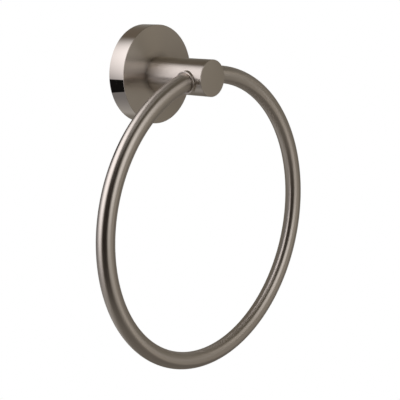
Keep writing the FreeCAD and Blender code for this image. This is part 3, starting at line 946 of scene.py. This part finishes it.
def hung_in_tent(nodes, way, elevation, aim, half_size, edge):
    """Mask of one patch: one inside its edges and nought outside them."""
    ahead = math.radians(aim[0])
    forward = nodes.dot(way, (math.sin(ahead), math.cos(ahead), 0))
    sideways = nodes.dot(way, (math.cos(ahead), -math.sin(ahead), 0))
    off_axis = nodes.math("ABSOLUTE", nodes.math("ARCTAN2", sideways, forward))
    off_level = nodes.math("ABSOLUTE",
                           nodes.math("SUBTRACT", elevation, math.radians(aim[1])))
    masks = []
    for offset, half in ((off_axis, half_size[0]), (off_level, half_size[1])):
        masks.append(nodes.remap(offset, math.radians(half - edge), math.radians(half + edge),
                                 1.0, 0.0, "SMOOTHSTEP"))
    return nodes.math("MULTIPLY", *masks)


def make_tent(studio):
    """Tent round the object, with the soft boxes and dark gaps that the metal reflects."""
    shape = bmesh.new()
    bmesh.ops.create_uvsphere(shape, u_segments=TENT_STEPS, v_segments=TENT_STEPS // 2,
                              radius=TENT_RADIUS)
    tent = link_mesh("tent", shape)
    tent.location = STUDIO_CENTRE
    material, nodes = new_material("tent_cloth")
    place = nodes.add("ShaderNodeTexCoord").outputs["Object"]
    unit = nodes.add("ShaderNodeVectorMath", operation="NORMALIZE")
    nodes.join(place, unit.inputs[0])
    way = unit.outputs["Vector"]
    elevation = nodes.math("ARCSINE", nodes.dot(way, Z_AXIS))
    ramp = nodes.add("ShaderNodeValToRGB")
    nodes.join(nodes.remap(elevation, -math.pi / 2, math.pi / 2, 0.0, 1.0),
               ramp.inputs["Fac"])
    stops = ramp.color_ramp.elements
    while len(stops) < len(TENT_TONES):
        stops.new(0.5)
    for stop, (level, shade) in zip(stops, TENT_TONES):
        stop.position = (level + 90) / 180
        stop.color = tone(shade, studio.surroundings)
    cloth = ramp.outputs["Color"]
    for name, aim, half_size, edge, shade in TENT_PATCHES:
        lit = studio.soft_boxes if "soft_box" in name else studio.surroundings
        mask = hung_in_tent(nodes, way, elevation, aim, half_size, edge)
        cloth = nodes.mix(mask, cloth, (*[channel * lit for channel in shade], 1))
    light = nodes.add("ShaderNodeEmission")
    nodes.join(cloth, light.inputs["Color"])
    output = nodes.add("ShaderNodeOutputMaterial")
    nodes.join(light.outputs[0], output.inputs["Surface"])
    material.cycles.emission_sampling = "NONE"
    tent.data.materials.append(material)
    reflected_only(tent)


def make_card(name, centre, facing, size, edge, strengths, fade):
    """Upright card beside the object, with soft edges.

    facing is the azimuth that it faces, in degrees. size and edge are its width and height, and
    the softness of each. The card dims from its first strength to its second over fade, a range
    along a way on the card: (way, start, end).
    """
    shape = bmesh.new()
    bmesh.ops.create_grid(shape, x_segments=1, y_segments=1, size=0.5)
    bmesh.ops.scale(shape, verts=shape.verts, vec=(size[0] + edge[0], size[1] + edge[1], 1))
    card = link_mesh(name, shape)
    away = Vector((math.sin(math.radians(facing)), math.cos(math.radians(facing)), 0))
    card.matrix_world = (Matrix.Translation(centre)
                         @ away.to_track_quat("Z", "Y").to_matrix().to_4x4())
    material, nodes = new_material(name)
    place, across, up = nodes.object_place()[:3]
    masks = []
    for offset, whole, soft in zip((across, up), size, edge):
        masks.append(nodes.remap(nodes.math("ABSOLUTE", offset), (whole - soft) / 2,
                                 (whole + soft) / 2, 1.0, 0.0, "SMOOTHSTEP"))
    way, start, end = fade
    light = nodes.add("ShaderNodeEmission")
    light.inputs["Color"].default_value = SOFT_BOX_WHITE
    nodes.join(nodes.remap(nodes.dot(place, way), start, end, *strengths, "SMOOTHSTEP"),
               light.inputs["Strength"])
    clear = nodes.add("ShaderNodeBsdfTransparent")
    blend = nodes.add("ShaderNodeMixShader")
    nodes.join(nodes.math("MULTIPLY", *masks), blend.inputs[0])
    nodes.join(clear.outputs[0], blend.inputs[1])
    nodes.join(light.outputs[0], blend.inputs[2])
    output = nodes.add("ShaderNodeOutputMaterial")
    nodes.join(blend.outputs[0], output.inputs["Surface"])
    material.cycles.emission_sampling = "NONE"
    card.data.materials.append(material)
    reflected_only(card)


def make_lamp():
    """Wide soft lamp overhead for the floor's shadow; the metal doesn't reflect it."""
    data = bpy.data.lights.new("overhead_lamp", "AREA")
    data.shape = "DISK"
    data.size = LAMP_SIZE
    data.energy = LAMP_POWER
    lamp = bpy.data.objects.new("overhead_lamp", data)
    bpy.context.scene.collection.objects.link(lamp)
    lamp.location = STUDIO_CENTRE + Z_AXIS * LAMP_HEIGHT
    lamp.visible_glossy = False
    lamp.visible_camera = False


def make_camera(studio):
    """Camera at the photograph's viewing angle."""
    yaw = studio.camera_yaw
    pitch = studio.camera_pitch
    ahead = Vector((math.sin(yaw) * math.cos(pitch), math.cos(yaw) * math.cos(pitch),
                    math.sin(pitch)))
    level = Vector((math.cos(yaw), -math.sin(yaw), 0))
    roll = Matrix.Rotation(-studio.camera_roll, 3, ahead)
    right = roll @ level
    up = right.cross(ahead)
    data = bpy.data.cameras.new("photo_camera")
    data.lens = studio.camera_lens
    data.sensor_width = SENSOR_WIDTH
    data.clip_start = CLIP_NEAR
    data.clip_end = CLIP_FAR
    camera = bpy.data.objects.new("photo_camera", data)
    bpy.context.scene.collection.objects.link(camera)
    turn = Matrix((right, up, -ahead)).transposed().to_4x4()
    camera.matrix_world = Matrix.Translation(Vector(studio.camera_place)) @ turn
    bpy.context.scene.camera = camera


class TOWELRING_OT_stage(bpy.types.Operator):
    """Set up the floor, the lamp, the tent and cards that the metal reflects and the camera"""

    bl_idname = "towel_ring.stage"
    bl_label = "Studio and camera"

    def execute(self, context):
        studio = context.scene.towel_ring.studio
        context.scene.view_settings.view_transform = "Standard"
        make_world()
        make_floor(studio)
        make_tent(studio)
        box = studio.soft_boxes
        make_card("left_soft_box", centre=Vector((-0.113, 0.0435, 0.065)), facing=145,
                  size=(0.225, 0.35), edge=(0.13, 0.16), strengths=(1.6 * box, 0.22 * box),
                  fade=((0.765, -0.644, 0), 0.007, 0.092))
        make_card("black_bar", centre=Vector((-0.050, 0.022, -0.0105)), facing=138,
                  size=(0.06, 0.021), edge=(0.002, 0.001), strengths=(0.008, 0.008),
                  fade=(X_AXIS, 0, 0.1))
        make_lamp()
        make_camera(studio)
        return {"FINISHED"}


class TOWELRING_PT_panel(bpy.types.Panel):
    """Sizes, finishes and the operators that build the towel ring"""

    bl_idname = "TOWELRING_PT_panel"
    bl_label = "Towel Ring"
    bl_space_type = "VIEW_3D"
    bl_region_type = "UI"
    bl_category = "Towel Ring"

    def draw(self, context):
        settings = context.scene.towel_ring
        for group in ("ring", "post", "flange", "finishes", "studio"):
            box = self.layout.box()
            box.label(text=group.capitalize())
            values = getattr(settings, group)
            for name in values.__annotations__:
                box.prop(values, name)
        for operator in OPERATORS:
            self.layout.operator(operator.bl_idname)


OPERATORS = (
    TOWELRING_OT_ring,
    TOWELRING_OT_post,
    TOWELRING_OT_bushes,
    TOWELRING_OT_flange,
    TOWELRING_OT_mounting,
    TOWELRING_OT_screws,
    TOWELRING_OT_stage,
)
CLASSES = (RingSizes, PostSizes, FlangeSizes, Finishes, StudioSettings, TowelRingSettings,
           *OPERATORS, TOWELRING_PT_panel)


def register():
    """Make the classes and the settings known to Blender."""
    for item in CLASSES:
        bpy.utils.register_class(item)
    bpy.types.Scene.towel_ring = PointerProperty(type=TowelRingSettings)


def unregister():
    """Take them away again."""
    del bpy.types.Scene.towel_ring
    for item in reversed(CLASSES):
        bpy.utils.unregister_class(item)


def main():
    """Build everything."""
    register()
    bpy.ops.towel_ring.ring()
    bpy.ops.towel_ring.post()
    bpy.ops.towel_ring.bushes()
    bpy.ops.towel_ring.flange()
    bpy.ops.towel_ring.mounting()
    bpy.ops.towel_ring.screws()
    bpy.ops.towel_ring.stage()


if __name__ == "__main__":
    main()
